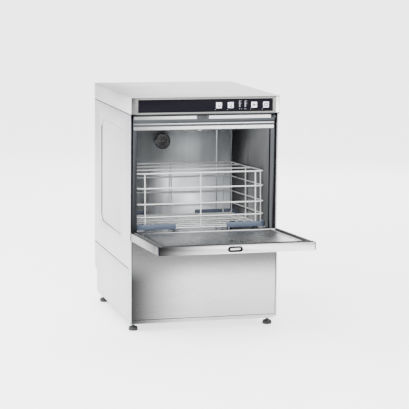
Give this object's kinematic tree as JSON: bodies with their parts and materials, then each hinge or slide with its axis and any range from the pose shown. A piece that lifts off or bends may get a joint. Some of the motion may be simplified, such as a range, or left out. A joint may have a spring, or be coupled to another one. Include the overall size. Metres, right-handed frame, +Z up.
{
  "type": "glass washer machine",
  "caption": "Front-loading under-counter glass washer: stainless cabinet on screw feet, drop-down door, sliding wire basket, spray arms and a button panel above the door.",
  "frame": {"origin": "on the floor, under the middle of the machine's outline with its door open", "axes": "+Z up, the door opens towards -Y, +X to the right seen from the front"},
  "size_m": [0.46, 0.9058, 0.71],
  "materials": {
    "outer_steel": "brushed",
    "tank_steel": "satin",
    "fascia_black": "gloss",
    "button_white": "matte",
    "display": "gloss",
    "circuit_board": "matte",
    "black_rubber": "matte",
    "black_plastic": "matte",
    "white_wire": "satin",
    "guard_plastic": "satin",
    "grey_plastic": "matte",
    "motor_case": "satin",
    "brass": "satin"
  },
  "bodies": {
    "cabinet": {"base_frame": "outer_steel", "left_side_panel": "outer_steel", "right_side_panel": "outer_steel", "left_lower_side_panel": "outer_steel", "right_lower_side_panel": "outer_steel", "rear_panel": "outer_steel", "lower_front_panel": "outer_steel", "top_cover": "outer_steel", "fascia_frame": "outer_steel", "control_fascia": "fascia_black", "temperature_display": "display", "control_board": "circuit_board", "front_frame": "outer_steel", "door_striker": "grey_plastic", "door_buffer": "black_plastic", "wash_chamber": "tank_steel", "vent_fitting": "black_plastic", "tank_sump": "grey_plastic", "sump_filter": "tank_steel", "tank_strainer": "tank_steel", "tank_heater": "tank_steel", "lower_arm_post": "tank_steel", "upper_arm_post": "tank_steel", "left_rack_rail": "tank_steel", "right_rack_rail": "tank_steel", "wash_pump_housing": "grey_plastic", "wash_pump_motor": "motor_case", "suction_pipe": "black_rubber", "pressure_pipe": "black_rubber", "riser_pipe": "black_rubber", "boiler": "tank_steel", "drain_pump": "black_plastic", "drain_hose": "black_rubber", "drain_spigot": "black_plastic", "water_inlet": "brass", "cable_gland": "black_plastic", "left_hinge_block": "grey_plastic", "right_hinge_block": "grey_plastic"},
    "door": {"door_skin": "outer_steel", "door_liner": "tank_steel", "door_gasket": "black_rubber"},
    "basket": {"basket": "white_wire", "basket_guard_front_left": "guard_plastic", "basket_guard_front_right": "guard_plastic", "basket_guard_rear_left": "guard_plastic", "basket_guard_rear_right": "guard_plastic"},
    "program_button_short": {"program_button_short": "button_white"},
    "program_button_long": {"program_button_long": "button_white"},
    "start_button": {"start_button": "button_white"},
    "power_button": {"power_button": "button_white"},
    "lower_wash_arm": {"lower_wash_arm": "tank_steel"},
    "lower_rinse_arm": {"lower_rinse_arm": "tank_steel"},
    "upper_wash_arm": {"upper_wash_arm": "tank_steel"},
    "upper_rinse_arm": {"upper_rinse_arm": "tank_steel"},
    "overflow_pipe": {"overflow_pipe": "grey_plastic"},
    "foot_front_left": {"foot_front_left": "black_rubber"},
    "foot_front_right": {"foot_front_right": "black_rubber"},
    "foot_rear_left": {"foot_rear_left": "black_rubber"},
    "foot_rear_right": {"foot_rear_right": "black_rubber"},
    "impeller": {"pump_impeller": "black_plastic"}
  },
  "joints": [
    {"name": "door_hinge", "type": "hinge", "parent": "cabinet", "child": "door", "pos_m": [0, -0.09864, 0.2855], "axis": [-1, 0, 0], "range_deg": [0, 87]},
    {"name": "basket_slide", "type": "slide", "parent": "cabinet", "child": "basket", "axis": [0, 0.9986, -0.0523], "range_m": [-0.371, 0]},
    {"name": "program_button_short_press", "type": "slide", "parent": "cabinet", "child": "program_button_short", "axis": [0, 1, 0], "range_m": [0, 0.0015], "stiffness_N_per_m": 600},
    {"name": "program_button_long_press", "type": "slide", "parent": "cabinet", "child": "program_button_long", "axis": [0, 1, 0], "range_m": [0, 0.0015], "stiffness_N_per_m": 600},
    {"name": "start_button_press", "type": "slide", "parent": "cabinet", "child": "start_button", "axis": [0, 1, 0], "range_m": [0, 0.0015], "stiffness_N_per_m": 600},
    {"name": "power_button_press", "type": "slide", "parent": "cabinet", "child": "power_button", "axis": [0, 1, 0], "range_m": [0, 0.0015], "stiffness_N_per_m": 600},
    {"name": "lower_wash_arm_spin", "type": "hinge", "parent": "cabinet", "child": "lower_wash_arm", "pos_m": [0, 0.14486, 0.236], "axis": [0, 0, 1], "continuous": true},
    {"name": "lower_rinse_arm_spin", "type": "hinge", "parent": "cabinet", "child": "lower_rinse_arm", "pos_m": [0, 0.14486, 0.236], "axis": [0, 0, 1], "continuous": true},
    {"name": "upper_wash_arm_spin", "type": "hinge", "parent": "cabinet", "child": "upper_wash_arm", "pos_m": [0, 0.14486, 0.617], "axis": [0, 0, 1], "continuous": true},
    {"name": "upper_rinse_arm_spin", "type": "hinge", "parent": "cabinet", "child": "upper_rinse_arm", "pos_m": [0, 0.14486, 0.617], "axis": [0, 0, 1], "continuous": true},
    {"name": "impeller_spin", "type": "hinge", "parent": "cabinet", "child": "impeller", "pos_m": [-0.14, 0.07486, 0.11], "axis": [0, 1, 0], "continuous": true},
    {"name": "overflow_pipe_lift", "type": "slide", "parent": "cabinet", "child": "overflow_pipe", "axis": [0, 0, 1], "range_m": [0, 0.014]},
    {"name": "foot_front_left_screw", "type": "slide", "parent": "cabinet", "child": "foot_front_left", "axis": [0, 0, -1], "range_m": [0, 0.012]},
    {"name": "foot_front_right_screw", "type": "slide", "parent": "cabinet", "child": "foot_front_right", "axis": [0, 0, -1], "range_m": [0, 0.012]},
    {"name": "foot_rear_left_screw", "type": "slide", "parent": "cabinet", "child": "foot_rear_left", "axis": [0, 0, -1], "range_m": [0, 0.012]},
    {"name": "foot_rear_right_screw", "type": "slide", "parent": "cabinet", "child": "foot_rear_right", "axis": [0, 0, -1], "range_m": [0, 0.012]}
  ]
}
